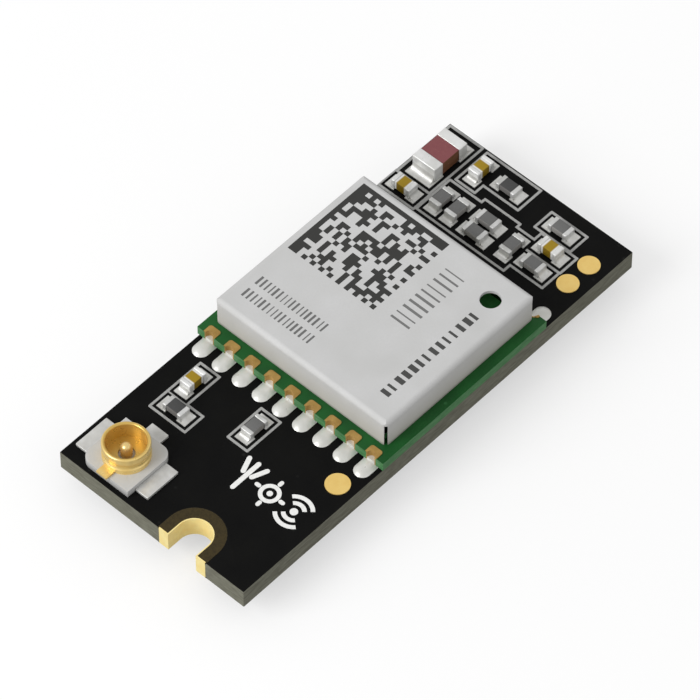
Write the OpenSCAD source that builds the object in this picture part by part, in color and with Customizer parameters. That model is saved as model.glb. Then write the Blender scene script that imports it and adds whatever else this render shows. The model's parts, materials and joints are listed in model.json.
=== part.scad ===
// Satellite positioning receiver board. A receiver module with half-round edge contacts and a shield
// can sits on a carrier board with a coaxial antenna socket, a screw notch and a plug underneath.
// X runs along the board from its notch end, Y across it towards the antenna socket, and Z is up.
// The origin is under the middle of the board, on the plug's mating face.

/* [Carrier board] */
// Board length between the notch end and the receiver module
near_bay_l = 7.95; // [7.9:0.05:12]
// Board length between the receiver module and the far end
far_bay_l = 5.35; // [5.3:0.05:9]
// Board thickness
board_t = 1; // [0.6:0.1:2]
// Thickness of the copper rings and pads on the board
foil_t = 0.04; // [0.02:0.01:0.07]
// Thickness of the plated walls of the notch and the edge contacts
plating_t = 0.05; // [0.03:0.01:0.08]
// Thickness of the printed component outlines
ink_t = 0.02; // [0.01:0.01:0.04]
// Width of the printed lines
ink_w = 0.11; // [0.08:0.01:0.14]
// Space between a component's lands and its printed outline
ink_gap = 0.13; // [0.08:0.01:0.14]
// Least space between a printed line and a pad or land beside it
ink_clear = 0.03; // [0.01:0.01:0.1]
// Space between the large capacitor's outline and the edges of the board
frame_inset = 0.04; // [0.02:0.01:0.1]
// How far the outline of the far resistor group steps out round its middle pair
outline_step = 0.35; // [0.2:0.05:0.4]

/* [Screw notch] */
// Width of the slot for the fixing screw
notch_w = 1.5; // [1.2:0.1:2]
// Depth of the slot from the end of the board
notch_depth = 1.45; // [1.1:0.05:2.5]
// Offset of the slot from the middle of the board
notch_y = -1.68; // [-3:0.01:-1]
// Width of the plated strips on the end face beside the slot
notch_lip_w = 0.45; // [0.2:0.05:0.6]
// Width of the copper ring round the slot
notch_ring_w = 0.5; // [0.3:0.05:0.7]

/* [Test pads] */
// Diameter of the test pad beside the receiver module
near_pad_d = 1.05; // [0.6:0.05:1.2]
// Distance of that pad from the notch end
near_pad_x = 6.3; // [4:0.05:6.4]
// Diameter of the two test pads at the far end
far_pad_d = 0.95; // [0.6:0.05:1.1]
// Distance of the outer far pad from the far end
far_pad_x = 1.73; // [0.8:0.01:2]
// Distance between the two far pads
far_pad_pitch = 1.29; // [1.15:0.01:1.8]
// Distance of the test pads from the side of the board
pad_inset = 0.85; // [0.65:0.01:0.9]

/* [Receiver module] */
// Length of the module's substrate
module_l = 9.7; // [9:0.1:16]
// Width of the module's substrate
module_w = 10.1; // [9.9:0.1:16]
// Thickness of the module's substrate
module_t = 0.45; // [0.4:0.05:1]
// Height of the substrate above the carrier board
module_gap = 0.08; // [0.08:0.01:0.2]
// How far the substrate stands over each side of the carrier board
module_overhang = 0.05; // [0:0.01:0.05]
// Distance between the edge contacts
pin_pitch = 1.1; // [0.9:0.05:1.6]
// Least distance from a corner of the substrate to a contact
pin_margin = 0.6; // [0.5:0.05:1.2]
// Diameter inside the plated half holes
pin_hole_d = 0.4; // [0.3:0.05:0.5]
// Width of the contact pads on the substrate
pin_pad_w = 0.6; // [0.56:0.02:0.8]
// Length of the contact pads on the substrate
pin_pad_l = 0.42; // [0.4:0.02:0.6]
// Radius of the inner corners of the contact pads
pin_pad_r = 0.12; // [0.06:0.01:0.2]
// Width of the soldered lands under the contacts
land_w = 0.75; // [0.5:0.05:0.85]
// How far the lands reach out from under the substrate
land_reach = 0.85; // [0.5:0.05:0.85]
// How far the lands reach in under the substrate
land_under = 0.6; // [0.3:0.05:1]
// Height of the solder on the lands
solder_h = 0.16; // [0.1:0.02:0.24]
// Height of the solder drawn up into the half holes
solder_climb = 0.25; // [0.2:0.05:0.5]

/* [Shield can] */
// Setback of the can from the substrate's edge on the notch side
can_near = 0.7; // [0.65:0.05:1.2]
// Setback of the can from the substrate's edge on the far side
can_far = 0.2; // [0.1:0.02:0.6]
// Setback of the can from the substrate's edge on the antenna socket's side
can_left = 0.3; // [0.2:0.02:0.7]
// Setback of the can from the substrate's edge on the test pads' side
can_right = 0.48; // [0.2:0.02:0.7]
// Height of the can above the substrate
can_h = 1.42; // [1.2:0.02:2.4]
// Thickness of the can's sheet
can_t = 0.15; // [0.1:0.01:0.2]
// Outer radius of the folds along the can's top
can_fold_r = 0.22; // [0.22:0.02:0.5]
// Radius of the can's corners seen from above
can_corner_r = 0.24; // [0.24:0.02:0.6]
// Width of the open seams at the can's corners
can_seam_w = 0.14; // [0.06:0.02:0.2]
// Diameter of the vent hole in the can's top
vent_d = 0.9; // [0.5:0.05:1.2]
// Distance of the vent hole from the can's far face
vent_x = 1.35; // [1.2:0.01:2]
// Distance of the vent hole from the can's side face
vent_y = 1.18; // [1.1:0.01:2]

/* [Parts under the can] */
// Space between these parts and from them to the can's walls
part_gap = 0.3; // [0.2:0.05:0.35]
// Width of the square receiver chip
receiver_w = 5; // [4:0.1:5.4]
// Height of the receiver chip
receiver_h = 0.85; // [0.6:0.05:0.95]
// Distance between the receiver chip's leads
lead_pitch = 0.4; // [0.35:0.05:0.65]
// Width of the receiver chip's leads
lead_w = 0.2; // [0.15:0.01:0.28]
// Length of the receiver chip's leads
lead_l = 0.4; // [0.3:0.05:0.5]
// Thickness of the receiver chip's leads
lead_t = 0.2; // [0.1:0.02:0.25]
// Length of the oscillator
oscillator_l = 2; // [1.6:0.1:2.1]
// Width of the oscillator
oscillator_w = 1.6; // [1.2:0.1:2]
// Height of the oscillator's ceramic base
oscillator_h = 0.5; // [0.4:0.05:0.7]
// Length of the clock crystal
crystal_l = 2; // [1.6:0.1:2.1]
// Width of the clock crystal
crystal_w = 1.2; // [1:0.1:1.5]
// Height of the clock crystal's ceramic base
crystal_h = 0.4; // [0.3:0.05:0.6]
// Thickness of the metal lids on the oscillator and the crystal
lid_t = 0.2; // [0.1:0.02:0.3]
// How far a lid is set back from the edge of its base
lid_inset = 0.1; // [0.05:0.01:0.2]
// Length of the band filter
filter_l = 1.4; // [1:0.1:1.6]
// Width of the band filter
filter_w = 1.1; // [0.8:0.1:1.5]
// Height of the band filter
filter_h = 0.6; // [0.4:0.05:0.9]
// Length of the amplifier
amplifier_l = 1.1; // [0.8:0.1:1.4]
// Width of the amplifier
amplifier_w = 0.7; // [0.5:0.1:1.2]
// Height of the amplifier
amplifier_h = 0.45; // [0.3:0.05:0.8]
// Length of the small capacitors
small_l = 0.6; // [0.4:0.05:0.7]
// Width and height of the small capacitors
small_w = 0.3; // [0.2:0.02:0.4]
// Distance between the small capacitors
small_pitch = 0.9; // [0.8:0.02:1]

/* [Antenna socket] */
// Distance of the socket's axis from the notch end
socket_x = 1.53; // [1.5:0.01:2]
// Offset of the socket's axis from the middle of the board
socket_y = 2.78; // [2.4:0.01:2.9]
// Width of the socket's square base
socket_base_w = 2.6; // [2.3:0.05:2.6]
// Height of the socket's base
socket_base_h = 0.35; // [0.25:0.05:0.5]
// Radius of the two round corners of the base
socket_corner_r = 0.5; // [0.2:0.05:0.8]
// Outer diameter of the socket's ring
ring_d = 2; // [1.6:0.05:2.1]
// Wall of the ring
ring_wall = 0.16; // [0.1:0.01:0.24]
// Height of the ring above its base
ring_h = 0.9; // [0.7:0.05:1.4]
// Height of the ring's lip above the snap groove
ring_lip_h = 0.3; // [0.22:0.01:0.35]
// Height of the ring's foot below the snap groove
ring_foot_h = 0.24; // [0.2:0.01:0.25]
// Depth of the snap groove
groove_d = 0.07; // [0.03:0.01:0.08]
// Thickness of the ring's floor
ring_floor_t = 0.1; // [0.05:0.01:0.2]
// Width of the tab that runs back from the ring
tab_w = 0.56; // [0.3:0.02:0.8]
// Thickness of that tab
tab_t = 0.1; // [0.06:0.01:0.18]
// How far the tab stands out past the base
tab_reach = 0.14; // [0.05:0.01:0.16]
// Diameter of the centre contact
contact_d = 0.5; // [0.3:0.02:0.6]
// Height of the centre contact above the board
contact_h = 1.05; // [0.8:0.05:1.4]
// Room between the centre contact and the ring's floor
contact_gap = 0.1; // [0.06:0.01:0.2]
// Width of the centre contact's tail
tail_w = 0.5; // [0.3:0.02:0.7]
// Thickness of the centre contact's tail
tail_t = 0.1; // [0.06:0.01:0.15]
// Width of the ground lands beside the base
ground_w = 1.75; // [1:0.05:2.2]
// How far the ground lands reach out from the base
ground_reach = 0.68; // [0.3:0.02:0.7]
// Width of the signal land
signal_w = 0.9; // [0.7:0.02:1.2]
// How far the signal land reaches out from the base
signal_reach = 0.62; // [0.4:0.02:0.7]
// Thickness of the solder on the socket's lands
socket_solder_t = 0.14; // [0.11:0.01:0.2]

/* [Chip parts] */
// Length of the chip resistors and capacitors
chip_l = 1; // [0.9:0.02:1.04]
// Width of the chip resistors and capacitors
chip_w = 0.58; // [0.4:0.02:0.6]
// Height of the chip resistors
resistor_h = 0.35; // [0.25:0.01:0.5]
// Height of the chip capacitors
capacitor_h = 0.5; // [0.3:0.02:0.7]
// Length of the metal ends of the chip resistors and capacitors
chip_end_l = 0.19; // [0.15:0.01:0.35]
// Length of the large capacitor
bulk_l = 2; // [1.8:0.05:2.1]
// Width of the large capacitor
bulk_w = 1.25; // [1:0.05:1.35]
// Height of the large capacitor
bulk_h = 0.75; // [0.6:0.05:1.3]
// Length of the metal ends of the large capacitor
bulk_end_l = 0.5; // [0.3:0.02:0.6]
// Thickness of the metal ends
end_t = 0.03; // [0.02:0.01:0.04]
// Radius of the chips' edges
chip_edge_r = 0.05; // [0.03:0.01:0.08]
// Thickness of the solder under the chips
chip_solder_t = 0.04; // [0.02:0.01:0.08]
// How far a chip's lands reach out from its ends
chip_land_reach = 0.28; // [0.24:0.01:0.3]
// How far a chip's lands reach out from its sides
chip_land_side = 0.05; // [0.02:0.01:0.06]
// Radius of the solder fillets on the chips' ends
fillet_r = 0.22; // [0.1:0.01:0.24]
// How far the large capacitor's lands reach out from its ends
bulk_land_reach = 0.38; // [0.36:0.01:0.4]
// Radius of the solder fillets on the large capacitor's ends
bulk_fillet_r = 0.34; // [0.2:0.01:0.36]

/* [Plug underneath] */
// Length of the plug's housing
plug_l = 7.7; // [6:0.1:9]
// Height of the plug below the board
plug_h = 0.95; // [0.8:0.05:1.5]
// Distance of the plug's middle from the far end
plug_x = 2.2; // [2:0.05:3]
// Thickness of the housing's plate against the board
plug_plate_t = 0.25; // [0.15:0.01:0.35]
// Thickness of the blocks at the ends of the housing
plug_end_t = 0.95; // [0.4:0.05:1.2]
// Width of each of the housing's two ribs
rib_w = 0.5; // [0.4:0.02:0.6]
// Space between the two ribs
rib_space = 1; // [0.8:0.05:1.3]
// Distance between the plug's contacts
plug_pitch = 0.5; // [0.4:0.05:0.8]
// Width of the plug's contacts
plug_contact_w = 0.2; // [0.14:0.01:0.28]
// Thickness of the plug's contacts
plug_contact_t = 0.08; // [0.05:0.01:0.1]
// Length of the plug's soldered feet
plug_foot_l = 0.5; // [0.3:0.02:0.6]
// Height of the contacts' inner legs
plug_hook_h = 0.5; // [0.3:0.02:0.5]
// How far the solder reaches out from the plug's feet
plug_solder_l = 0.16; // [0.08:0.02:0.2]
// How far the solder stands out beside the plug's feet
plug_solder_side = 0.04; // [0.02:0.01:0.06]

/* [Hidden] */
$fn = 48;
// Length by which a cut runs past the face it opens
cut = 0.5;

board_l = near_bay_l + module_l + far_bay_l;
board_w = module_w - 2 * module_overhang;
near_x = -board_l / 2;
far_x = board_l / 2;
top_z = plug_h + board_t;

module_x0 = near_x + near_bay_l;
module_x1 = module_x0 + module_l;
module_x = (module_x0 + module_x1) / 2;
module_z = top_z + module_gap;
module_top = module_z + module_t;
pin_count = floor((module_w - 2 * pin_margin) / pin_pitch) + 1;
pin_ys = [for (i = [0 : pin_count - 1]) (i - (pin_count - 1) / 2) * pin_pitch];
pin_r = pin_hole_d / 2;
// The far pads stop short of the can's wall
far_pin_pad_l = min(pin_pad_l, can_far - plating_t);

can_l = module_l - can_near - can_far;
can_w = module_w - can_left - can_right;
can_x = module_x + (can_near - can_far) / 2;
can_y = (can_right - can_left) / 2;
vent_at = [can_x + can_l / 2 - vent_x, can_y - can_w / 2 + vent_y];

// Place along the board and diameter of each test pad
pads = [
    [near_x + near_pad_x, near_pad_d],
    [far_x - far_pad_x, far_pad_d],
    [far_x - far_pad_x - far_pad_pitch, far_pad_d]
];

notch_r = notch_w / 2;
notch_x = near_x + notch_depth - notch_r;
wall_r = notch_r + plating_t;

socket_at = [near_x + socket_x, socket_y, top_z];
ring_r = ring_d / 2;

rib_in = rib_space / 2;
rib_out = rib_in + rib_w;
plug_at = [far_x - plug_x, 0, 0];
rib_l = plug_l - 2 * plug_end_t;
plug_count = floor((rib_l - plug_contact_w) / plug_pitch) + 1;

// A chip's place: a share of its bay's length from the end of the board, a share of the board's width
// from its middle, and the turn about Z
function near_place(along, across, turn) = [near_x + along * near_bay_l, across * board_w, turn];
function far_place(along, across, turn) = [far_x - along * far_bay_l, across * board_w, turn];
resistor_places = [
    near_place(0.576, 0.3, 90),
    near_place(0.757, 0.01, 0),
    far_place(0.621, 0.246, 0),
    far_place(0.621, 0.162, 0),
    far_place(0.695, 0.028, 90),
    far_place(0.542, 0.028, 90),
    far_place(0.598, -0.127, 0),
    far_place(0.63, -0.257, 90),
    far_place(0.225, -0.217, 90),
    far_place(0.191, 0.083, 90)
];
capacitor_places = [
    near_place(0.757, 0.344, 0),
    far_place(0.725, 0.402, 90),
    far_place(0.206, 0.23, 0),
    far_place(0.434, -0.26, 90)
];
bulk_place = far_place(0.333, 0.397, 0);

// Places of the parts under the can, from its inner faces: the receiver chip in one corner, a row of
// three parts along the side below it, and the amplifier and small capacitors along the far side
in_x0 = can_x - can_l / 2 + can_t;
in_x1 = can_x + can_l / 2 - can_t;
in_y0 = can_y - can_w / 2 + can_t;
in_y1 = can_y + can_w / 2 - can_t;
receiver_at = [in_x0 + part_gap + receiver_w / 2, in_y1 - part_gap - receiver_w / 2, module_top];
filter_at = [in_x0 + part_gap + filter_l / 2, in_y0 + part_gap + filter_w / 2, module_top];
oscillator_at = [
    filter_at[0] + (filter_l + oscillator_l) / 2 + part_gap,
    in_y0 + part_gap + oscillator_w / 2,
    module_top
];
crystal_at = [
    oscillator_at[0] + (oscillator_l + crystal_l) / 2 + part_gap,
    in_y0 + part_gap + crystal_w / 2,
    module_top
];
amplifier_at = [in_x1 - part_gap - amplifier_l / 2, in_y1 - part_gap - amplifier_w / 2, module_top];
small_at = [
    in_x1 - part_gap - small_l / 2,
    amplifier_at[1] - (amplifier_w + small_w) / 2 - part_gap,
    module_top
];
small_counts = [2, 3];

resistor_names = [for (i = [1 : len(resistor_places)]) str("resistor_", i)];
capacitor_names = [for (i = [1 : len(capacitor_places)]) str("capacitor_", i)];
chip_names = concat(resistor_names, capacitor_names, ["bulk_capacitor"]);

// Half the lands' reach of a part [length, width] at a place, as [x, y]
function half_reach(place, l, w) = place[2] == 0 ? [l / 2, w / 2] : [w / 2, l / 2];
function box_at(place, l, w) = let (h = half_reach(place, l, w))
    [place[0] - h[0], place[1] - h[1], place[0] + h[0], place[1] + h[1]];
function chip_box(place) = box_at(place, chip_l + 2 * chip_land_reach, chip_w + 2 * chip_land_side);
function merged(boxes) = [
    min([for (b = boxes) b[0]]), min([for (b = boxes) b[1]]),
    max([for (b = boxes) b[2]]), max([for (b = boxes) b[3]])
];

r_box = [for (place = resistor_places) chip_box(place)];
c_box = [for (place = capacitor_places) chip_box(place)];
bulk_box = box_at(bulk_place, bulk_l + 2 * bulk_land_reach, bulk_w + 2 * chip_land_side);
land_boxes = concat(r_box, c_box, [bulk_box]);
// The large capacitor's outline runs out to the corner of the board
frame_reach = frame_inset + ink_gap + ink_w;
bulk_frame = [bulk_box[0], bulk_box[1], far_x - frame_reach, board_w / 2 - frame_reach];
// The outline of the far resistor group steps out round its middle pair
pair_frame = merged([r_box[4], r_box[5]]) + [0, 0, outline_step, 0];
// Each printed outline runs round one group of boxes
outline_groups = [
    [r_box[0]],
    [c_box[0]],
    [r_box[1]],
    [merged([r_box[2], r_box[3], r_box[6]]), pair_frame],
    [c_box[1]],
    [bulk_frame],
    [c_box[2], [r_box[9][0], r_box[9][1], c_box[2][2], c_box[2][3]]],
    [r_box[7]],
    [c_box[3]],
    [r_box[8]]
];

// A rectangle with round corners, centred on the origin
module round_rect(l, w, r) {
    square([l - 2 * r, w], center = true);
    square([l, w - 2 * r], center = true);
    for (x = [-1, 1], y = [-1, 1]) {
        translate([x * (l / 2 - r), y * (w / 2 - r)]) circle(r);
    }
}

// A rectangle standing on the X axis with its two upper corners round
module arch(w, h, r) {
    translate([-w / 2, 0]) square([w, h - r]);
    translate([r - w / 2, 0]) square([w - 2 * r, h]);
    for (x = [-1, 1]) {
        translate([x * (w / 2 - r), h - r]) circle(r);
    }
}

// A block of folded sheet: round along its top edges and at its corners
module folded_block(l, w, h, fold_r, corner_r) {
    intersection() {
        rotate([90, 0, 0]) linear_extrude(w, center = true) arch(l, h, fold_r);
        rotate([90, 0, 90]) linear_extrude(l, center = true) arch(w, h, fold_r);
        linear_extrude(h) round_rect(l, w, corner_r);
    }
}

// A block standing on Z = 0 with every edge round
module soft_block(l, w, h, r) {
    intersection() {
        linear_extrude(h) round_rect(l, w, r);
        translate([0, 0, h / 2]) {
            rotate([90, 0, 0]) linear_extrude(w, center = true) round_rect(l, h, r);
        }
        translate([0, 0, h / 2]) {
            rotate([90, 0, 90]) linear_extrude(l, center = true) round_rect(w, h, r);
        }
    }
}

// A plain block standing on Z = 0
module block(l, w, h) {
    translate([0, 0, h / 2]) cube([l, w, h], center = true);
}

module board_outline() {
    square([board_l, board_w], center = true);
}

// The notch's slot, open at the end of the board
module slot(r) {
    translate([notch_x, notch_y]) circle(r);
    translate([near_x - cut, notch_y - r]) square([notch_x - near_x + cut, 2 * r]);
}

// The plated strips on the end face, on both sides of the slot
module notch_lips() {
    translate([near_x, notch_y - wall_r - notch_lip_w]) square([plating_t, 2 * (wall_r + notch_lip_w)]);
}

module ring_shape() {
    intersection() {
        difference() {
            slot(wall_r + notch_ring_w);
            slot(wall_r);
            notch_lips();
        }
        board_outline();
    }
}

module notch_rings() {
    color([0.24, 0.2, 0.1]) {
        for (z = [plug_h, top_z - foil_t]) {
            translate([0, 0, z]) linear_extrude(foil_t) ring_shape();
        }
    }
}

module carrier_board() {
    color([0.08, 0.08, 0.08]) difference() {
        translate([0, 0, plug_h]) linear_extrude(board_t) difference() {
            board_outline();
            slot(wall_r);
            notch_lips();
        }
        for (z = [plug_h - cut, top_z - foil_t]) {
            translate([0, 0, z]) linear_extrude(foil_t + cut) ring_shape();
        }
    }
}

module notch_plating() {
    color([0.9, 0.76, 0.43]) translate([0, 0, plug_h]) linear_extrude(board_t) difference() {
        intersection() {
            union() {
                slot(wall_r);
                notch_lips();
            }
            board_outline();
        }
        slot(notch_r);
    }
}

module pad_discs(by = 0) {
    for (pad = pads) {
        translate([pad[0], pad_inset - board_w / 2]) circle(d = pad[1] + 2 * by);
    }
}

module test_pads() {
    color([0.9, 0.76, 0.43]) translate([0, 0, top_z]) linear_extrude(foil_t) pad_discs();
}

// The inside of an outline: a box of lands grown on all sides
module inked_off(b) {
    translate([b[0] - ink_gap, b[1] - ink_gap]) {
        square([b[2] - b[0] + 2 * ink_gap, b[3] - b[1] + 2 * ink_gap]);
    }
}

// The outside of an outline, with corners as round as the end of a printed line
module inked_to(b) {
    by = ink_gap + ink_w;
    translate([b[0] + b[2], b[1] + b[3]] / 2) {
        round_rect(b[2] - b[0] + 2 * by, b[3] - b[1] + 2 * by, ink_w / 2);
    }
}

module outline(boxes) {
    difference() {
        for (b = boxes) {
            inked_to(b);
        }
        for (b = boxes) {
            inked_off(b);
        }
    }
}

module component_outlines() {
    color([0.75, 0.75, 0.74]) translate([0, 0, top_z]) linear_extrude(ink_t) difference() {
        intersection() {
            for (boxes = outline_groups) {
                outline(boxes);
            }
            board_outline();
        }
        for (b = land_boxes) {
            inked_off(b);
        }
        pad_discs(ink_clear);
        at_pins() translate([0, -land_w / 2 - ink_clear]) {
            square([land_reach + ink_clear, land_w + 2 * ink_clear]);
        }
    }
}

// One copy of the children for each edge contact, with its X pointing out of the module
module at_pins(sides = [-1, 1]) {
    for (side = sides, y = pin_ys) {
        translate([side < 0 ? module_x0 : module_x1, y, 0]) rotate([0, 0, side < 0 ? 180 : 0]) children();
    }
}

module module_substrate() {
    color([0.1, 0.35, 0.14]) difference() {
        translate([module_x, 0, module_z]) block(module_l, module_w, module_t);
        at_pins() translate([0, 0, module_z - cut]) cylinder(h = module_t + 2 * cut, r = pin_r + plating_t);
    }
}

// A flat contact pad that ends at the module's edge, with round inner corners and a half-round bite
module pin_pad(l, z) {
    translate([0, 0, z]) linear_extrude(foil_t) difference() {
        round_rect(2 * l, pin_pad_w, min(pin_pad_r, l / 2));
        translate([0, -pin_pad_w]) square(2 * pin_pad_w);
        circle(pin_r);
    }
}

module pin_barrel() {
    translate([0, 0, module_z]) linear_extrude(module_t) intersection() {
        difference() {
            circle(pin_r + plating_t);
            circle(pin_r);
        }
        translate([-pin_hole_d, -pin_hole_d]) square([pin_hole_d, 2 * pin_hole_d]);
    }
}

module edge_contacts() {
    color([0.85, 0.68, 0.35]) {
        at_pins() {
            pin_barrel();
            pin_pad(pin_pad_l, module_z - foil_t);
        }
        at_pins([-1]) pin_pad(pin_pad_l, module_top);
        at_pins([1]) pin_pad(far_pin_pad_l, module_top);
    }
}

// A drop of solder along X with a round end, lying on Z = 0
module solder_drop(l, w, h) {
    r = (w * w / 4 + h * h) / (2 * h);
    intersection() {
        translate([0, 0, h - r]) {
            rotate([0, 90, 0]) cylinder(h = l - w / 2, r = r);
            translate([l - w / 2, 0, 0]) sphere(r);
        }
        translate([0, -w, 0]) cube([l, 2 * w, h]);
    }
}

module module_solder() {
    color([0.88, 0.88, 0.86]) at_pins() translate([0, 0, top_z]) {
        solder_drop(land_reach, land_w, solder_h);
        translate([-land_under, -land_w / 2, 0]) cube([land_under, land_w, module_gap - foil_t]);
        intersection() {
            cylinder(h = solder_climb, r = pin_r);
            translate([-pin_r, -pin_r, 0]) cube([pin_r, 2 * pin_r, solder_climb]);
        }
    }
}

module shield_can() {
    inner_l = can_l - 2 * can_t;
    inner_w = can_w - 2 * can_t;
    seam_h = can_h - can_fold_r;
    seam_l = 2 * (can_corner_r + can_t);
    color([0.78, 0.78, 0.78]) difference() {
        translate([can_x, can_y, module_top]) difference() {
            folded_block(can_l, can_w, can_h, can_fold_r, can_corner_r);
            translate([0, 0, -can_t]) {
                folded_block(inner_l, inner_w, can_h, can_fold_r - can_t, can_corner_r - can_t);
            }
            for (x = [-1, 1], y = [-1, 1]) {
                translate([x * can_l / 2, y * can_w / 2, -cut]) {
                    rotate([0, 0, x * y * 45]) block(seam_l, can_seam_w, seam_h + cut);
                }
            }
        }
        translate([vent_at[0], vent_at[1], module_top]) cylinder(h = can_h + cut, d = vent_d);
    }
}

module receiver_lead_row() {
    count = floor((receiver_w - 2 * (lead_l + lead_w)) / lead_pitch) + 1;
    for (i = [0 : count - 1]) {
        translate([receiver_w / 2 - lead_l / 2, (i - (count - 1) / 2) * lead_pitch, 0]) {
            block(lead_l, lead_w, lead_t);
        }
    }
}

module receiver_leads() {
    color([0.75, 0.75, 0.72]) translate(receiver_at) {
        for (turn = [0, 90, 180, 270]) {
            rotate([0, 0, turn]) receiver_lead_row();
        }
    }
}

module receiver_chip() {
    color([0.12, 0.12, 0.12]) difference() {
        translate(receiver_at) block(receiver_w, receiver_w, receiver_h);
        receiver_leads();
    }
}

module lid(l, w) {
    linear_extrude(lid_t) round_rect(l - 2 * lid_inset, w - 2 * lid_inset, lid_inset);
}

module oscillator_base() {
    color([0.3, 0.28, 0.25]) translate(oscillator_at) block(oscillator_l, oscillator_w, oscillator_h);
}

module oscillator_lid() {
    color([0.85, 0.8, 0.65]) translate(oscillator_at + [0, 0, oscillator_h]) lid(oscillator_l, oscillator_w);
}

module crystal_base() {
    color([0.3, 0.28, 0.25]) translate(crystal_at) block(crystal_l, crystal_w, crystal_h);
}

module crystal_lid() {
    color([0.85, 0.85, 0.83]) translate(crystal_at + [0, 0, crystal_h]) lid(crystal_l, crystal_w);
}

module band_filter() {
    color([0.2, 0.2, 0.2]) translate(filter_at) block(filter_l, filter_w, filter_h);
}

module amplifier() {
    color([0.12, 0.12, 0.12]) translate(amplifier_at) block(amplifier_l, amplifier_w, amplifier_h);
}

module small_capacitors() {
    color([0.6, 0.5, 0.35]) translate(small_at) {
        for (i = [0 : small_counts[0] - 1], j = [0 : small_counts[1] - 1]) {
            translate([-i * small_pitch, -j * small_pitch, 0]) block(small_l, small_w, small_w);
        }
    }
}

// The base's outline: two opposite corners are round
module socket_outline() {
    half = socket_base_w / 2;
    difference() {
        square(socket_base_w, center = true);
        for (s = [-1, 1]) {
            translate([s * half, -s * half]) rotate([0, 0, s < 0 ? 0 : 180]) difference() {
                translate([-cut, -socket_corner_r]) square([socket_corner_r + cut, socket_corner_r + cut]);
                translate([socket_corner_r, -socket_corner_r]) circle(socket_corner_r);
            }
        }
    }
}

module contact_tail() {
    translate([0, -tail_w / 2, 0]) cube([socket_base_w / 2 + signal_reach / 2, tail_w, tail_t]);
}

module socket_base() {
    color([0.87, 0.86, 0.84]) translate(socket_at) difference() {
        linear_extrude(socket_base_h) socket_outline();
        contact_tail();
        translate([0, 0, -cut]) cylinder(h = socket_base_h + 2 * cut, d = contact_d);
    }
}

// Half section of the ring: foot, round snap groove, lip with a round rim, and floor
module ring_section() {
    groove_half = (ring_h - ring_lip_h - ring_foot_h) / 2;
    groove_r = (groove_half * groove_half + groove_d * groove_d) / (2 * groove_d);
    difference() {
        translate([ring_r - ring_wall, 0]) square([ring_wall, ring_h - ring_wall / 2]);
        translate([ring_r - groove_d + groove_r, ring_foot_h + groove_half]) circle(groove_r);
    }
    translate([ring_r - ring_wall / 2, ring_h - ring_wall / 2]) circle(ring_wall / 2);
    translate([contact_d / 2 + contact_gap, 0]) {
        square([ring_r - ring_wall / 2 - contact_d / 2 - contact_gap, ring_floor_t]);
    }
}

module socket_ring() {
    color([0.9, 0.7, 0.35]) translate(socket_at + [0, 0, socket_base_h]) {
        rotate_extrude() ring_section();
        difference() {
            translate([-socket_base_w / 2 - tab_reach, -tab_w / 2, 0]) {
                cube([socket_base_w / 2 + tab_reach, tab_w, tab_t]);
            }
            translate([0, 0, -cut]) cylinder(h = tab_t + 2 * cut, r = ring_r - ring_wall / 2);
        }
    }
}

module socket_contact() {
    r = contact_d / 2;
    color([0.9, 0.7, 0.35]) translate(socket_at) {
        cylinder(h = contact_h - r, r = r);
        translate([0, 0, contact_h - r]) sphere(r);
        contact_tail();
    }
}

module socket_solder() {
    color([0.88, 0.88, 0.86]) translate(socket_at) {
        for (s = [-1, 1]) {
            translate([0, s * (socket_base_w + ground_reach) / 2, 0]) {
                block(ground_w, ground_reach, socket_solder_t);
            }
        }
        difference() {
            translate([(socket_base_w + signal_reach) / 2, 0, 0]) {
                block(signal_reach, signal_w, socket_solder_t);
            }
            contact_tail();
        }
    }
}

// Moves the children to a chip's place, on top of its solder
module at_place(place, z = top_z) {
    translate([place[0], place[1], z]) rotate([0, 0, place[2]]) children();
}

module chip_core(l, w, h) {
    translate([0, 0, end_t]) block(l - 2 * end_t, w - 2 * end_t, h - 2 * end_t);
}

module chip_ends(l, w, h, end_l) {
    difference() {
        soft_block(l, w, h, chip_edge_r);
        chip_core(l, w, h);
        translate([0, 0, -cut]) block(l - 2 * end_l, w + 2 * cut, h + 2 * cut);
    }
}

module resistor(place) {
    coat_l = chip_l - 2 * chip_end_l;
    color([0.36, 0.36, 0.36]) at_place(place, top_z + chip_solder_t) {
        chip_core(chip_l, chip_w, resistor_h);
        translate([0, 0, resistor_h - end_t]) block(coat_l, chip_w - 2 * end_t, end_t);
    }
}

module resistor_ends(place) {
    color([0.88, 0.88, 0.87]) at_place(place, top_z + chip_solder_t) {
        chip_ends(chip_l, chip_w, resistor_h, chip_end_l);
    }
}

module capacitor(place) {
    color([0.59, 0.49, 0.12]) at_place(place, top_z + chip_solder_t) chip_core(chip_l, chip_w, capacitor_h);
}

module capacitor_ends(place) {
    color([0.88, 0.88, 0.87]) at_place(place, top_z + chip_solder_t) {
        chip_ends(chip_l, chip_w, capacitor_h, chip_end_l);
    }
}

module bulk_capacitor() {
    color([0.49, 0.28, 0.29]) at_place(bulk_place, top_z + chip_solder_t) chip_core(bulk_l, bulk_w, bulk_h);
}

module bulk_capacitor_ends() {
    color([0.88, 0.88, 0.87]) at_place(bulk_place, top_z + chip_solder_t) {
        chip_ends(bulk_l, bulk_w, bulk_h, bulk_end_l);
    }
}

// The two joints of one chip: a land under each end and a hollow fillet up its face
module chip_joints(l, w, end_l, reach, r) {
    for (turn = [0, 180]) {
        rotate([0, 0, turn]) {
            translate([l / 2 - end_l, -w / 2 - chip_land_side, 0]) {
                cube([end_l + reach, w + 2 * chip_land_side, chip_solder_t]);
            }
            translate([l / 2, 0, chip_solder_t]) rotate([90, 0, 0]) {
                linear_extrude(w - 2 * chip_edge_r, center = true) difference() {
                    square(r);
                    translate([r, r]) circle(r);
                }
            }
        }
    }
}

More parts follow.
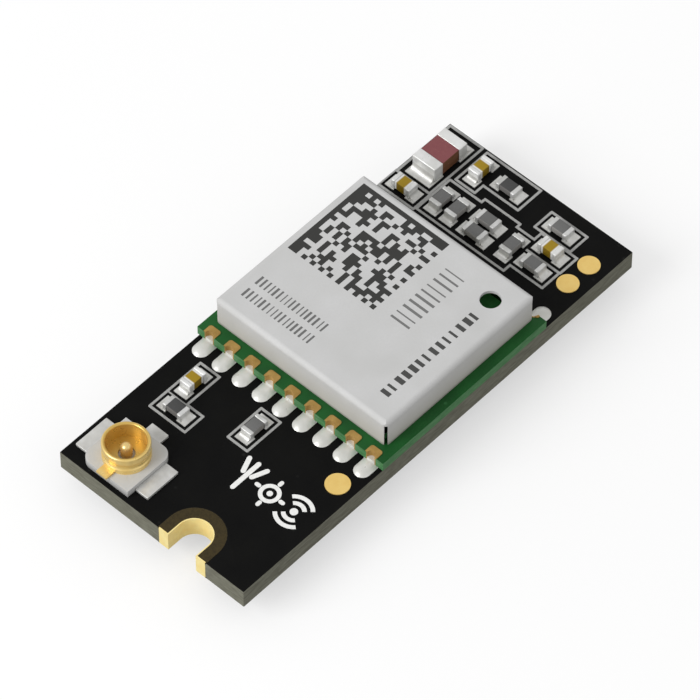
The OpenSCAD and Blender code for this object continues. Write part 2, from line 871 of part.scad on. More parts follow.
module chip_solder() {
    color([0.88, 0.88, 0.86]) {
        for (place = concat(resistor_places, capacitor_places)) {
            at_place(place) chip_joints(chip_l, chip_w, chip_end_l, chip_land_reach, fillet_r);
        }
        at_place(bulk_place) chip_joints(bulk_l, bulk_w, bulk_end_l, bulk_land_reach, bulk_fillet_r);
    }
}

module plug_housing() {
    rib_h = plug_h - plug_plate_t - plug_contact_t;
    color([0.85, 0.82, 0.74]) translate(plug_at) {
        translate([0, 0, plug_h - plug_plate_t]) block(2 * rib_out, plug_l, plug_plate_t);
        for (s = [-1, 1]) {
            translate([s * (rib_in + rib_w / 2), 0, plug_contact_t]) block(rib_w, rib_l, rib_h);
            translate([0, s * (plug_l - plug_end_t) / 2, 0]) {
                linear_extrude(plug_h - plug_plate_t) round_rect(2 * rib_out, plug_end_t, plug_contact_t);
            }
        }
    }
}

// Section of a contact: foot against the board, outer leg, bend over the rib, and inner leg
module plug_contact_section() {
    t = plug_contact_t;
    polygon([
        [rib_out, plug_h],
        [rib_out + plug_foot_l, plug_h],
        [rib_out + plug_foot_l, plug_h - t],
        [rib_out + t, plug_h - t],
        [rib_out + t, 0],
        [rib_in - t, 0],
        [rib_in - t, plug_hook_h],
        [rib_in, plug_hook_h],
        [rib_in, t],
        [rib_out, t]
    ]);
}

// One copy of the children for each of the plug's contacts, with X pointing out of the plug
module at_plug_contacts() {
    translate(plug_at) for (i = [0 : plug_count - 1], turn = [0, 180]) {
        translate([0, (i - (plug_count - 1) / 2) * plug_pitch, 0]) rotate([0, 0, turn]) children();
    }
}

module plug_contacts() {
    color([0.9, 0.76, 0.43]) at_plug_contacts() rotate([90, 0, 0]) {
        linear_extrude(plug_contact_w, center = true) plug_contact_section();
    }
}

// A wedge of solder round the tip of each foot
module plug_solder() {
    t = plug_contact_t;
    tip = rib_out + plug_foot_l;
    w = plug_contact_w + 2 * plug_solder_side;
    color([0.88, 0.88, 0.86]) at_plug_contacts() difference() {
        rotate([90, 0, 0]) linear_extrude(w, center = true) polygon([
            [tip - plug_foot_l / 2, plug_h],
            [tip + plug_solder_l, plug_h],
            [tip, plug_h - t],
            [tip - plug_foot_l / 2, plug_h - t]
        ]);
        translate([rib_out, -plug_contact_w / 2, plug_h - t - cut]) {
            cube([plug_foot_l, plug_contact_w, t + 2 * cut]);
        }
    }
}

carrier_board();
notch_plating();
notch_rings();
test_pads();
component_outlines();
module_substrate();
edge_contacts();
module_solder();
shield_can();
receiver_chip();
receiver_leads();
oscillator_base();
oscillator_lid();
crystal_base();
crystal_lid();
band_filter();
amplifier();
small_capacitors();
socket_base();
socket_ring();
socket_contact();
socket_solder();
chip_solder();
plug_housing();
plug_contacts();
plug_solder();
for (i = [0 : len(resistor_places) - 1]) {
    resistor(resistor_places[i]);
    resistor_ends(resistor_places[i]);
}
for (i = [0 : len(capacitor_places) - 1]) {
    capacitor(capacitor_places[i]);
    capacitor_ends(capacitor_places[i]);
}
bulk_capacitor();
bulk_capacitor_ends();
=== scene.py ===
"""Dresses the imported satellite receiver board: finishes, printed signs, floor, light and camera."""

from __future__ import annotations

import json
import logging
import math
from dataclasses import dataclass, field
from enum import Enum
from typing import ClassVar, Dict, List, Sequence, Tuple, Union

import bmesh
import bpy
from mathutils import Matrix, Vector


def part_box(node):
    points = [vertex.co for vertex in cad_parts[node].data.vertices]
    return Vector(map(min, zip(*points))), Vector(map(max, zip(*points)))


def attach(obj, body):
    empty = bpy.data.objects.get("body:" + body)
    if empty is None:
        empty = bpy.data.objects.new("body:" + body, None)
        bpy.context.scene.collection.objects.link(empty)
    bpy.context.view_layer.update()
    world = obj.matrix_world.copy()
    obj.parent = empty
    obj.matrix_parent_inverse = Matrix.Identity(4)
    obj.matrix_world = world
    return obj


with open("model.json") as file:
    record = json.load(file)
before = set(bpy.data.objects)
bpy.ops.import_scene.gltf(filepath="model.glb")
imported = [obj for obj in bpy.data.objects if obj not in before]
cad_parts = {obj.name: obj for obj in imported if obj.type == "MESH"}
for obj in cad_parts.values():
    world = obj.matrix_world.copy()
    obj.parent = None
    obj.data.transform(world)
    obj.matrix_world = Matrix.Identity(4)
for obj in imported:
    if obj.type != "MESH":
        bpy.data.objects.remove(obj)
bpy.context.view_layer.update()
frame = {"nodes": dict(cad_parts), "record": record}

LOG = logging.getLogger("receiver_board")
MM = 0.001
BODY = "root"
RESISTORS = [f"resistor_{i}" for i in range(1, 11)]
DARK_RESISTORS = ("resistor_1", "resistor_10")
SMALL_CAPACITORS = [f"capacitor_{i}" for i in range(1, 5)]

Point = Tuple[float, float]
Place = Tuple[float, float, float]
Colour = Tuple[float, float, float, float]
Feed = Union[bpy.types.NodeSocket, float, Tuple[float, ...]]
Feeds = Dict[Union[str, int], Feed]
Paints = Dict[str, bpy.types.Material]

WHITE: Colour = (1.0, 1.0, 1.0, 1.0)
SIGN_MIDDLE: Point = (0.0, 0.0)
SRGB_FULL = 255
SRGB_KNEE = 0.04045
SRGB_SLOPE = 12.92
SRGB_LIFT = 0.055
SRGB_POWER = 2.4


def srgb(red: float, green: float, blue: float) -> Colour:
    """Turns a screen colour into the linear colour that shaders take.

    Args:
        red: red from 0 to 255.
        green: green from 0 to 255.
        blue: blue from 0 to 255.

    Returns:
        The linear colour with an alpha of 1.
    """
    shares = [c / SRGB_FULL for c in (red, green, blue)]
    linear = [
        s / SRGB_SLOPE if s <= SRGB_KNEE else ((s + SRGB_LIFT) / (1 + SRGB_LIFT)) ** SRGB_POWER
        for s in shares
    ]
    return (linear[0], linear[1], linear[2], 1.0)


class Op(Enum):
    """Kinds of Math node that the shaders use."""

    ADD = "ADD"
    LESS = "LESS_THAN"
    MORE = "GREATER_THAN"
    TIMES = "MULTIPLY"
    MINUS = "SUBTRACT"
    OVER = "DIVIDE"
    HIGHER = "MAXIMUM"
    LOWER = "MINIMUM"
    SIZE = "ABSOLUTE"
    FLOOR = "FLOOR"
    REST = "FRACT"


class Effect(Enum):
    """Shader groups that several finishes share."""

    GRAIN = "fine_grain"
    DRIFT = "tone_drift"
    SPECKS = "stray_specks"
    FLAT = "flat_faces"
    BARS = "bar_row"


class Axis(Enum):
    """Directions in which a row of marks runs on the can's top."""

    X = "X"
    Y = "Y"


@dataclass(frozen=True)
class Box:
    """Corners of a CAD node, in millimetres."""

    low: Vector
    high: Vector

    @classmethod
    def of(cls, node: str) -> Box:
        """Reads a node's box from the frame."""
        low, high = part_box(node)
        return cls(Vector(low) / MM, Vector(high) / MM)


@dataclass(frozen=True)
class Graph:
    """Short calls that add and join the nodes of one tree.

    A Mix node has sockets for each kind of data. The numbers here are those of its colours.
    """

    MIX_INPUTS: ClassVar[Tuple[int, int, int]] = (0, 6, 7)
    MIX_RESULT: ClassVar[int] = 2

    tree: bpy.types.NodeTree

    def feed(self, node: bpy.types.Node, key: Union[str, int], value: Feed) -> None:
        """Links a socket to a node's input, or sets the input to a plain value.

        Args:
            node: the node that takes the value.
            key: name or number of its input.
            value: a socket, a number or a tuple of numbers.
        """
        if isinstance(value, bpy.types.NodeSocket):
            self.tree.links.new(value, node.inputs[key])
        else:
            node.inputs[key].default_value = value

    def add(self, kind: str, feeds: Feeds | None = None) -> bpy.types.Node:
        """Adds a node.

        Args:
            kind: Blender's name of the node type.
            feeds: values for its inputs.

        Returns:
            The new node.
        """
        node = self.tree.nodes.new(kind)
        for key, value in (feeds or {}).items():
            self.feed(node, key, value)
        return node

    def math(self, op: Op, one: Feed, two: Feed = 0.0) -> bpy.types.NodeSocket:
        """Adds a Math node.

        Args:
            op: what it works out.
            one: first value.
            two: second value.

        Returns:
            The result's socket.
        """
        node = self.add("ShaderNodeMath", {0: one, 1: two})
        node.operation = op.value
        return node.outputs[0]

    def product(self, *values: Feed) -> bpy.types.NodeSocket:
        """Multiplies several values.

        Args:
            values: the values, at least two.

        Returns:
            Their product's socket.
        """
        result = values[0]
        for value in values[1:]:
            result = self.math(Op.TIMES, result, value)
        return result

    def mix(self, share: Feed, one: Feed, two: Feed) -> bpy.types.NodeSocket:
        """Mixes two colours.

        Args:
            share: share of the second colour.
            one: first colour.
            two: second colour.

        Returns:
            The mixed colour's socket.
        """
        node = self.tree.nodes.new("ShaderNodeMix")
        node.data_type = "RGBA"
        for key, value in zip(self.MIX_INPUTS, (share, one, two)):
            self.feed(node, key, value)
        return node.outputs[self.MIX_RESULT]

    def ramp(self, value: Feed, span: Point, to: Point = (0.0, 1.0)) -> bpy.types.NodeSocket:
        """Maps a value from one span to another, and stays inside it.

        Args:
            value: the value.
            span: start and end of its span.
            to: results at the start and at the end.

        Returns:
            The result's socket.
        """
        feeds: Feeds = {
            "Value": value, "From Min": span[0], "From Max": span[1], "To Min": to[0], "To Max": to[1],
        }
        return self.add("ShaderNodeMapRange", feeds).outputs[0]

    def within(self, value: Feed, middle: Feed, half: Feed) -> bpy.types.NodeSocket:
        """Gives 1 where a value is less than a half width from a middle, and 0 elsewhere."""
        away = self.math(Op.SIZE, self.math(Op.MINUS, value, middle))
        return self.math(Op.LESS, away, half)

    def millimetres(self, stretch: Place = (1.0, 1.0, 1.0)) -> bpy.types.NodeSocket:
        """Gives the place on the object in millimetres.

        Args:
            stretch: factors along X, Y and Z.

        Returns:
            The place's socket.
        """
        place = self.add("ShaderNodeTexCoord").outputs["Object"]
        scale = tuple(factor / MM for factor in stretch)
        return self.add("ShaderNodeMapping", {"Vector": place, "Scale": scale}).outputs[0]

    def along(self) -> bpy.types.NodeOutputs:
        """Gives the place in millimetres as outputs X, Y and Z."""
        return self.add("ShaderNodeSeparateXYZ", {0: self.millimetres()}).outputs

    def noise(self, vector: Feed, scale: Feed, detail: float = 2.0) -> bpy.types.NodeSocket:
        """Adds noise from 0 to 1, with so many lumps for each millimetre and so many finer layers."""
        feeds: Feeds = {"Vector": vector, "Scale": scale, "Detail": detail}
        return self.add("ShaderNodeTexNoise", feeds).outputs[0]

    def bump(self, height: Feed, strength: float, depth: float) -> bpy.types.NodeSocket:
        """Bumps the normal by a relief from 0 to 1, whose depth is in millimetres."""
        feeds: Feeds = {"Height": height, "Strength": strength, "Distance": depth * MM}
        return self.add("ShaderNodeBump", feeds).outputs[0]


class EffectShelf:
    """Builds each shared shader group once and places it in the materials."""

    COARSE_DETAIL = 3.0
    FINE_DETAIL = 1.0
    FINE_RATIO = 3.1
    DRIFT_SPAN: Point = (0.3, 0.7)
    SPECK_EDGE: Point = (0.12, 0.3)
    FLAT_SPAN: Point = (0.55, 0.8)
    BAR_WIDTHS: Point = (0.6, 1.4)
    SOCKETS: Dict[Effect, Tuple[Dict[str, str], Dict[str, str]]] = {
        Effect.GRAIN: ({"Scale": "Float"}, {"Grain": "Float"}),
        Effect.DRIFT: ({"Light": "Color", "Dark": "Color", "Scale": "Float"}, {"Tone": "Color"}),
        Effect.SPECKS: ({"Scale": "Float", "Share": "Float"}, {"Mask": "Float"}),
        Effect.FLAT: ({}, {"Mask": "Float"}),
        Effect.BARS: (
            {
                "Along": "Float", "Across": "Float", "Start": "Float", "End": "Float",
                "Middle": "Float", "Half": "Float", "Pitch": "Float", "Fill": "Float",
            },
            {"Mask": "Float"},
        ),
    }

    def __init__(self) -> None:
        """Starts with no groups."""
        self._groups: Dict[Effect, bpy.types.NodeTree] = {}

    def place(self, graph: Graph, effect: Effect, feeds: Feeds) -> bpy.types.NodeSocket:
        """Places a group in a tree.

        Args:
            graph: the tree.
            effect: which group.
            feeds: values for its inputs.

        Returns:
            The group's first output.
        """
        node = graph.tree.nodes.new("ShaderNodeGroup")
        node.node_tree = self._group(effect)
        for key, value in feeds.items():
            graph.feed(node, key, value)
        return node.outputs[0]

    def _group(self, effect: Effect) -> bpy.types.NodeTree:
        """Builds a group the first time it is asked for.

        Args:
            effect: which group.

        Returns:
            The group's tree.
        """
        if effect in self._groups:
            return self._groups[effect]
        tree = bpy.data.node_groups.new(effect.value, "ShaderNodeTree")
        for side, sockets in zip(("INPUT", "OUTPUT"), self.SOCKETS[effect]):
            for name, kind in sockets.items():
                tree.interface.new_socket(name=name, in_out=side, socket_type=f"NodeSocket{kind}")
        makers = {
            Effect.GRAIN: self._grain,
            Effect.DRIFT: self._drift,
            Effect.SPECKS: self._specks,
            Effect.FLAT: self._flat,
            Effect.BARS: self._bars,
        }
        graph = Graph(tree)
        given = graph.add("NodeGroupInput").outputs
        graph.add("NodeGroupOutput", {0: makers[effect](graph, given)})
        self._groups[effect] = tree
        return tree

    def _grain(self, graph: Graph, given: bpy.types.NodeOutputs) -> bpy.types.NodeSocket:
        """Fine noise at two scales.

        Args:
            graph: the group's tree.
            given: the group's inputs.

        Returns:
            The grain from 0 to 1.
        """
        place = graph.millimetres()
        coarse = graph.noise(place, given["Scale"], self.COARSE_DETAIL)
        fine = graph.noise(place, graph.product(given["Scale"], self.FINE_RATIO), self.FINE_DETAIL)
        return graph.math(Op.OVER, graph.math(Op.ADD, coarse, fine), 2.0)

    def _drift(self, graph: Graph, given: bpy.types.NodeOutputs) -> bpy.types.NodeSocket:
        """Slow change between two tones."""
        share = graph.ramp(graph.noise(graph.millimetres(), given["Scale"]), self.DRIFT_SPAN)
        return graph.mix(share, given["Light"], given["Dark"])

    def _specks(self, graph: Graph, given: bpy.types.NodeOutputs) -> bpy.types.NodeSocket:
        """Small round specks, strewn at random.

        Args:
            graph: the group's tree.
            given: the group's inputs.

        Returns:
            The specks' mask.
        """
        feeds: Feeds = {"Vector": graph.millimetres(), "Scale": given["Scale"]}
        cells = graph.add("ShaderNodeTexVoronoi", feeds).outputs
        chance = graph.add("ShaderNodeSeparateColor", {0: cells["Color"]}).outputs[0]
        chosen = graph.math(Op.LESS, chance, given["Share"])
        return graph.product(graph.ramp(cells["Distance"], self.SPECK_EDGE, (1.0, 0.0)), chosen)

    def _flat(self, graph: Graph, given: bpy.types.NodeOutputs) -> bpy.types.NodeSocket:
        """Faces that look up or down.

        Args:
            graph: the group's tree.
            given: the group's inputs, of which there are none.

        Returns:
            1 on such faces and 0 on upright ones.
        """
        normal = graph.add("ShaderNodeTexCoord").outputs["Normal"]
        up = graph.add("ShaderNodeSeparateXYZ", {0: normal}).outputs["Z"]
        return graph.ramp(graph.math(Op.SIZE, up), self.FLAT_SPAN)

    def _bars(self, graph: Graph, given: bpy.types.NodeOutputs) -> bpy.types.NodeSocket:
        """A row of plain bars of uneven width.

        Args:
            graph: the group's tree.
            given: the group's inputs.

        Returns:
            The bars' mask.
        """
        run = graph.math(Op.MINUS, given["Along"], given["Start"])
        steps = graph.math(Op.OVER, run, given["Pitch"])
        number = graph.math(Op.FLOOR, steps)
        chance = graph.add("ShaderNodeTexWhiteNoise", {0: number}).outputs["Value"]
        width = graph.product(given["Fill"], graph.ramp(chance, (0.0, 1.0), self.BAR_WIDTHS))
        return graph.product(
            graph.math(Op.LESS, graph.math(Op.REST, steps), width),
            graph.math(Op.MORE, given["Along"], given["Start"]),
            graph.math(Op.LESS, given["Along"], given["End"]),
            graph.within(given["Across"], given["Middle"], given["Half"]),
        )


@dataclass(frozen=True)
class Wiring:
    """What a finish has at hand when it wires its colour."""

    graph: Graph
    shelf: EffectShelf
    shader: bpy.types.Node
    grain: bpy.types.NodeSocket

    def effect(self, effect: Effect, **feeds: Feed) -> bpy.types.NodeSocket:
        """Places a shared group in the material and gives its first output."""
        return self.shelf.place(self.graph, effect, feeds)

    def base(self, colour: bpy.types.NodeSocket) -> None:
        """Sends a colour to the shader's base colour."""
        self.graph.feed(self.shader, "Base Color", colour)


@dataclass(frozen=True, kw_only=True)
class Finish:
    """A surface finish that becomes one material.

    Grain, patches and flecks count lumps for each millimetre. Depths and widths are in millimetres.
    """

    GRAIN_SPAN: ClassVar[Point] = (0.3, 0.7)

    name: str
    roughness: float = 0.5
    spread: float = 0.1
    metallic: float = 0.0
    specular: float = 0.3
    grain: float = 8.0
    relief: float = 0.2
    relief_depth: float = 0.01

    def material(self, shelf: EffectShelf) -> bpy.types.Material:
        """Makes the material.

        Args:
            shelf: the shared shader groups.

        Returns:
            The material.
        """
        made = bpy.data.materials.new(self.name)
        made.use_nodes = True
        graph = Graph(made.node_tree)
        graph.tree.nodes.clear()
        fixed: Feeds = {"Metallic": self.metallic, "Specular IOR Level": self.specular}
        shader = graph.add("ShaderNodeBsdfPrincipled", fixed)
        graph.add("ShaderNodeOutputMaterial", {"Surface": shader.outputs["BSDF"]})
        grain = shelf.place(graph, Effect.GRAIN, {"Scale": self.grain})
        limits = (self.roughness - self.spread, self.roughness + self.spread)
        graph.feed(shader, "Roughness", graph.ramp(grain, self.GRAIN_SPAN, limits))
        graph.feed(shader, "Normal", graph.bump(grain, self.relief, self.relief_depth))
        self.colour(Wiring(graph, shelf, shader, grain))
        return made

    def colour(self, wiring: Wiring) -> None:
        """Wires the base colour, and what else the finish needs."""
        raise NotImplementedError


@dataclass(frozen=True, kw_only=True)
class Laminate(Finish):
    """Solder mask on glass-fibre laminate, with bare cut edges."""

    mask: Colour
    mask_dark: Colour
    edge: Colour
    edge_dark: Colour
    speck: Colour
    patch: float = 0.7
    speck_scale: float = 3.0
    speck_share: float = 0.05
    speck_strength: float = 0.5
    fibre_stretch: Place = (1.2, 1.2, 9.0)
    fibre_scale: float = 1.6
    fibre_detail: float = 3.0
    fibre_span: Point = (0.35, 0.65)

    def colour(self, wiring: Wiring) -> None:
        """Wires the mask, its specks and the layered edges.

        Args:
            wiring: the material's tree, groups, shader and grain.
        """
        graph = wiring.graph
        fibres = graph.noise(graph.millimetres(self.fibre_stretch), self.fibre_scale, self.fibre_detail)
        edge = graph.mix(graph.ramp(fibres, self.fibre_span), self.edge, self.edge_dark)
        wiring.base(graph.mix(wiring.effect(Effect.FLAT), edge, self.top(wiring)))

    def top(self, wiring: Wiring) -> bpy.types.NodeSocket:
        """Wires the mask and its specks.

        Args:
            wiring: the material's tree, groups, shader and grain.

        Returns:
            The mask's colour.
        """
        mask = wiring.effect(Effect.DRIFT, Light=self.mask, Dark=self.mask_dark, Scale=self.patch)
        specks = wiring.effect(Effect.SPECKS, Scale=self.speck_scale, Share=self.speck_share)
        return wiring.graph.mix(wiring.graph.product(specks, self.speck_strength), mask, self.speck)


@dataclass(frozen=True, kw_only=True)
class CoveredLaminate(Laminate):
    """Laminate whose mask is painted lighter under a cover than beside it: painted light on mask that
    the cover shades.
    """

    cover: str
    painted_light_under_cover: Colour
    rim: float = 0.3

    def top(self, wiring: Wiring) -> bpy.types.NodeSocket:
        """Wires the mask, with painted light inside the cover's outline.

        Args:
            wiring: the material's tree, groups, shader and grain.

        Returns:
            The mask's colour.
        """
        graph = wiring.graph
        cover = Box.of(self.cover)
        middle = (cover.low + cover.high) / 2
        half = (cover.high - cover.low) / 2
        place = graph.along()
        inside = graph.product(
            graph.within(place["X"], middle.x, half.x - self.rim),
            graph.within(place["Y"], middle.y, half.y - self.rim),
        )
        # Painted light: inside the cover's outline the shaded mask is painted a much lighter green.
        return graph.mix(inside, super().top(wiring), self.painted_light_under_cover)


@dataclass(frozen=True, kw_only=True)
class Plating(Finish):
    """Plated or soldered metal with faint stains."""

    light: Colour
    dark: Colour
    patch: float = 2.0
    stain_span: Point = (0.4, 0.9)
    stain_share: Point = (0.0, 0.25)

    def colour(self, wiring: Wiring) -> None:
        """Sends the metal's colour to the shader."""
        wiring.base(self.metal(wiring))

    def metal(self, wiring: Wiring) -> bpy.types.NodeSocket:
        """Wires the metal's two tones.

        Args:
            wiring: the material's tree, groups, shader and grain.

        Returns:
            The metal's colour.
        """
        tone = wiring.effect(Effect.DRIFT, Light=self.light, Dark=self.dark, Scale=self.patch)
        stain = wiring.graph.ramp(wiring.grain, self.stain_span, self.stain_share)
        return wiring.graph.mix(stain, tone, self.dark)


@dataclass(frozen=True, kw_only=True)
class CupPlating(Plating):
    """Plate on a turned cup with a tab along X, with painted shade inside the cup.

    The painted shade fades out over the rim, between two depths from the cup's outside.
    """

    node: str
    inner: Colour
    rim: Point = (0.04, 0.1)

    def colour(self, wiring: Wiring) -> None:
        """Wires the metal and the painted shade on the cup's inside.

        Args:
            wiring: the material's tree, groups, shader and grain.
        """
        graph = wiring.graph
        cup = Box.of(self.node)
        radius = (cup.high.y - cup.low.y) / 2
        axis = (cup.high.x - radius, cup.low.y + radius, 0.0)
        place = graph.along()
        flat = graph.add("ShaderNodeCombineXYZ", {0: place["X"], 1: place["Y"]}).outputs[0]
        away = graph.add("ShaderNodeVectorMath", {0: flat, 1: axis})
        away.operation = "DISTANCE"
        edge = (radius - self.rim[1], radius - self.rim[0])
        inside = graph.ramp(away.outputs["Value"], edge, (1.0, 0.0))
        # Painted shade: the cup's inside is painted a deeper gold than its outside.
        wiring.base(graph.mix(inside, self.metal(wiring), self.inner))


@dataclass(frozen=True, kw_only=True)
class Printing(Finish):
    """Printed ink or masked foil: one tone that thins out in places."""

    ink: Colour
    thin: Colour
    worn_span: Point = (0.4, 0.7)

    def colour(self, wiring: Wiring) -> None:
        """Wires the ink and its thin places."""
        worn = wiring.graph.ramp(wiring.grain, self.worn_span)
        wiring.base(wiring.graph.mix(worn, self.ink, self.thin))


@dataclass(frozen=True, kw_only=True)
class Moulding(Finish):
    """Moulded or fired body, whose top may differ from its sides: a real second colour on some bodies,
    painted shade on the sides of others.
    """

    top: Colour
    side: Colour
    fleck: Colour
    flecks: float = 0.2
    fleck_scale: float = 12.0
    fleck_strength: float = 0.6
    dust_span: Point = (0.35, 0.75)
    dust_share: Point = (0.0, 0.3)

    def colour(self, wiring: Wiring) -> None:
        """Sends the body's colour to the shader."""
        wiring.base(self.body(wiring))

    def body(self, wiring: Wiring) -> bpy.types.NodeSocket:
        """Wires the top, the sides, the flecks and the dust.

        Args:
            wiring: the material's tree, groups, shader and grain.

        Returns:
            The body's colour.
        """
        graph = wiring.graph
        # Top against sides: a second real colour on the resistors, painted shade on the darker sides of
        # the other bodies.
        body = graph.mix(wiring.effect(Effect.FLAT), self.side, self.top)
        specks = wiring.effect(Effect.SPECKS, Scale=self.fleck_scale, Share=self.flecks)
        body = graph.mix(graph.product(specks, self.fleck_strength), body, self.fleck)
        dust = graph.ramp(wiring.grain, self.dust_span, self.dust_share)
        return graph.mix(dust, body, self.fleck)


@dataclass(frozen=True, kw_only=True)
class RimmedCore(Moulding):
    """Fired core of one chip capacitor, with a rim of tin beside each of its metal ends."""

    node: str
    tin: Colour
    bare: float = 0.42
    fade: float = 0.05

    def colour(self, wiring: Wiring) -> None:
        """Wires the bare middle and the two rims.

        Args:
            wiring: the material's tree, groups, shader and grain.
        """
        graph = wiring.graph
        core = Box.of(self.node)
        size = core.high - core.low
        middle = (core.low + core.high) / 2
        number = 0 if size.x > size.y else 1
        away = graph.math(Op.SIZE, graph.math(Op.MINUS, graph.along()[number], middle[number]))
        tinned = graph.ramp(away, ((self.bare - self.fade) / 2, (self.bare + self.fade) / 2))
        wiring.base(graph.mix(tinned, self.body(wiring), self.tin))


@dataclass(frozen=True)
class MarkRow:
    """A row of etched bars, placed from the can's low corner, in millimetres."""

    axis: Axis
    start: float
    bars: int
    middle: float
    height: float
    pitch: float
    fill: float
    depth: float


@dataclass(frozen=True)
class CodeField:
    """A field of random etched cells with two full and two dotted rims.

    It is placed from the can's low corner, in millimetres. Share is the part of dark cells, and
    seed picks which ones they are. Cells have whole numbers, so half a cell parts one from the next.
    """

    HALF_CELL: ClassVar[float] = 0.5

    start: Point = (3.89, 4.27)
    size: Point = (4.53, 4.68)
    cells: int = 20
    share: float = 0.5
    seed: float = 7.0


@dataclass(frozen=True, kw_only=True)
class CanSheet(Finish):
    """Matt tinned sheet with plain etched marks on its top."""

    node: str
    sheet: Colour
    shade: Colour
    # Tone that the sheet takes towards its foot, darker and warmer.
    lower_tone: Colour
    # Colour of a painted shadow line along the can's foot.
    foot: Colour
    etched: Colour
    patch: float = 0.5
    shade_span: Point = (0.35, 0.65)
    shade_share: Point = (0.0, 0.5)
    lower_tone_share: float = 0.5
    # Height and strength of the painted shadow line along the foot.
    foot_shadow_h: float = 0.15
    foot_shadow_share: float = 0.6
    top_skin: float = 0.01
    mark_strength: float = 0.95
    code: CodeField = CodeField()
    rows: Tuple[MarkRow, ...] = (
        MarkRow(Axis.X, start=4.12, bars=10, middle=3.07, height=1.0, pitch=0.36, fill=0.28, depth=0.75),
        MarkRow(Axis.X, start=1.08, bars=14, middle=1.1, height=0.46, pitch=0.4, fill=0.48, depth=0.95),
        MarkRow(Axis.Y, start=5.05, bars=17, middle=1.1, height=0.48, pitch=0.22, fill=0.38, depth=0.8),
        MarkRow(Axis.Y, start=5.05, bars=17, middle=1.9, height=0.48, pitch=0.22, fill=0.38, depth=0.8),
    )

    def _code(self, graph: Graph, low: Vector) -> bpy.types.NodeSocket:
        """Lays out the field of cells.

        Args:
            graph: the material's tree.
            low: the can's low corner.

        Returns:
            The cells' mask.
        """
        place = graph.along()
        half = self.code.cells / 2
        steps = []
        for number, axis in enumerate(Axis):
            run = graph.math(Op.MINUS, place[axis.value], low[number] + self.code.start[number])
            steps.append(graph.math(Op.OVER, run, self.code.size[number] / self.code.cells))
        inside = graph.product(*(graph.within(step, half, half) for step in steps))
        column, row = (graph.math(Op.FLOOR, step) for step in steps)
        cell = graph.add("ShaderNodeCombineXYZ", {0: column, 1: row, 2: self.code.seed}).outputs[0]
        chance = graph.add("ShaderNodeTexWhiteNoise", {0: cell}).outputs["Value"]
        lowest = graph.math(Op.LOWER, column, row)
        highest = graph.math(Op.HIGHER, column, row)
        full_rim = graph.math(Op.MORE, highest, self.code.cells - 1 - self.code.HALF_CELL)
        pairs = graph.math(Op.OVER, graph.math(Op.ADD, column, row), 2.0)
        even = graph.math(Op.LESS, graph.math(Op.REST, pairs), self.code.HALF_CELL / 2)
        dots = graph.product(graph.math(Op.LESS, lowest, self.code.HALF_CELL), even)
        chosen = graph.math(Op.LESS, chance, self.code.share)
        random = graph.product(graph.math(Op.MORE, lowest, self.code.HALF_CELL), chosen)
        filled = graph.math(Op.HIGHER, full_rim, graph.math(Op.HIGHER, dots, random))
        return graph.product(filled, inside)

    def _row(self, wiring: Wiring, low: Vector, row: MarkRow) -> bpy.types.NodeSocket:
        """Lays out one row of bars.

        Args:
            wiring: the material's tree, groups, shader and grain.
            low: the can's low corner.
            row: the row.

        Returns:
            The bars' mask.
        """
        place = wiring.graph.along()
        along, across = (0, 1) if row.axis is Axis.X else (1, 0)
        start = low[along] + row.start
        bars = wiring.effect(
            Effect.BARS, Along=place[along], Across=place[across],
            Start=start, End=start + row.bars * row.pitch,
            Middle=low[across] + row.middle, Half=row.height / 2, Pitch=row.pitch, Fill=row.fill,
        )
        return wiring.graph.product(bars, row.depth)

    def colour(self, wiring: Wiring) -> None:
        """Wires the sheet, its darker and warmer lower part, a painted shadow line along its foot and
        the etched marks.

        Args:
            wiring: the material's tree, groups, shader and grain.
        """
        graph = wiring.graph
        can = Box.of(self.node)
        tone = wiring.effect(Effect.DRIFT, Light=self.sheet, Dark=self.shade, Scale=self.patch)
        tone = graph.mix(graph.ramp(wiring.grain, self.shade_span, self.shade_share), tone, self.shade)
        height = graph.along()["Z"]
        # The sheet turns darker and warmer towards its foot, over the can's whole height.
        low = graph.ramp(height, (can.low.z, can.high.z), (self.lower_tone_share, 0.0))
        tone = graph.mix(low, tone, self.lower_tone)
        # Painted shadow: a dark line along the foot, where the can meets the substrate.
        lowest = graph.ramp(height, (can.low.z, can.low.z + self.foot_shadow_h), (self.foot_shadow_share, 0.0))
        tone = graph.mix(lowest, tone, self.foot)
        marks = self._code(graph, can.low)
        for row in self.rows:
            marks = graph.math(Op.HIGHER, marks, self._row(wiring, can.low, row))
        marks = graph.product(marks, graph.math(Op.MORE, height, can.high.z - self.top_skin))
        wiring.base(graph.mix(graph.product(marks, self.mark_strength), tone, self.etched))
        graph.feed(wiring.shader, "Metallic", graph.ramp(marks, (0.0, 1.0), (self.metallic, 0.0)))


@dataclass(frozen=True, kw_only=True)
class FloorPaint(Finish):
    """Studio floor that looks white, keeps shadows faint and throws little light back up."""

    tone: Colour
    tone_dark: Colour
    patch: float = 0.02
    glow: float = 0.54

    def colour(self, wiring: Wiring) -> None:
        """Wires the tones, and the glow that is seen but lights nothing.

        Args:
            wiring: the material's tree, groups, shader and grain.
        """
        graph = wiring.graph
        wiring.base(wiring.effect(Effect.DRIFT, Light=self.tone, Dark=self.tone_dark, Scale=self.patch))
        seen = graph.add("ShaderNodeLightPath").outputs["Is Camera Ray"]
        graph.feed(wiring.shader, "Emission Color", WHITE)
        graph.feed(wiring.shader, "Emission Strength", graph.product(seen, self.glow))


